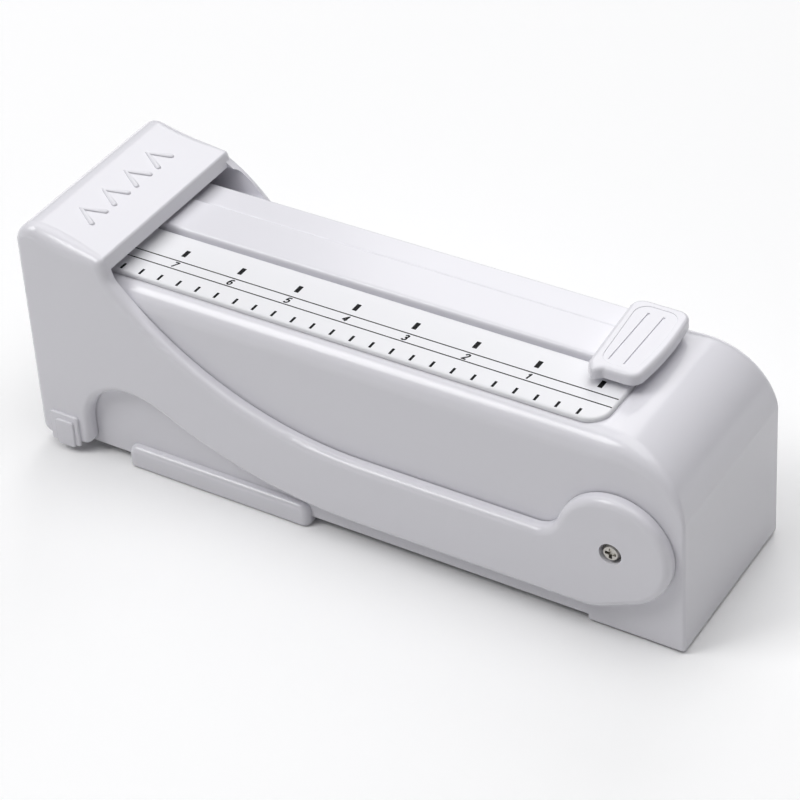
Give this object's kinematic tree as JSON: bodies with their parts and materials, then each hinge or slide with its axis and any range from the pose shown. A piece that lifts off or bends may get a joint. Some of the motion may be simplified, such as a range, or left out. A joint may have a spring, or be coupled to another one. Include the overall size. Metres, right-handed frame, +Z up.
{
  "type": "butter slicer",
  "caption": "White hand-pressed butter slicer: hollow housing for a stick of butter, thumb slider with scale, and a hinged press lever that carries a blade past the mouth.",
  "frame": {"origin": "Middle of the footprint on the table top, at the height of the pads' undersides.", "axes": "+X along the body from the press end to the pivot end, +Z up, -Y towards the side with the printed scale."},
  "size_m": [0.167, 0.0554, 0.0617],
  "materials": {
    "white_plastic": "gloss",
    "printed_plastic": "satin",
    "inner_plastic": "matte",
    "bush_plastic": "matte",
    "blade_steel": "brushed",
    "screw_steel": "polished",
    "pad_rubber": "matte"
  },
  "bodies": {
    "body": {"housing": "white_plastic", "scale_plate": "printed_plastic", "slide_rail": "white_plastic", "track_cover": "white_plastic", "butter_tray": "inner_plastic", "base_plate": "inner_plastic", "base_screws": "screw_steel", "front_foot": "white_plastic", "front_foot_screws": "screw_steel", "front_foot_pads": "pad_rubber", "rear_foot_pads": "pad_rubber", "pivot_bush_left": "bush_plastic", "pivot_bush_right": "bush_plastic", "pivot_washer_left": "screw_steel", "pivot_washer_right": "screw_steel", "pivot_screw_left": "screw_steel", "pivot_screw_right": "screw_steel"},
    "lever": {"press_lever": "white_plastic", "cutting_blade": "blade_steel", "blade_clip_left": "white_plastic", "blade_clip_right": "white_plastic"},
    "pusher": {"thumb_slider": "white_plastic", "pusher_carriage": "inner_plastic", "pusher_plate": "inner_plastic", "pusher_plate_screws": "screw_steel"}
  },
  "joints": [
    {"name": "lever_pivot", "type": "hinge", "parent": "body", "child": "lever", "pos_m": [0.06725, 0, 0.0243], "axis": [0, 1, 0], "range_deg": [0, 15]},
    {"name": "pusher_slide", "type": "slide", "parent": "body", "child": "pusher", "axis": [-1, 0, 0], "range_m": [0, 0.106]}
  ]
}
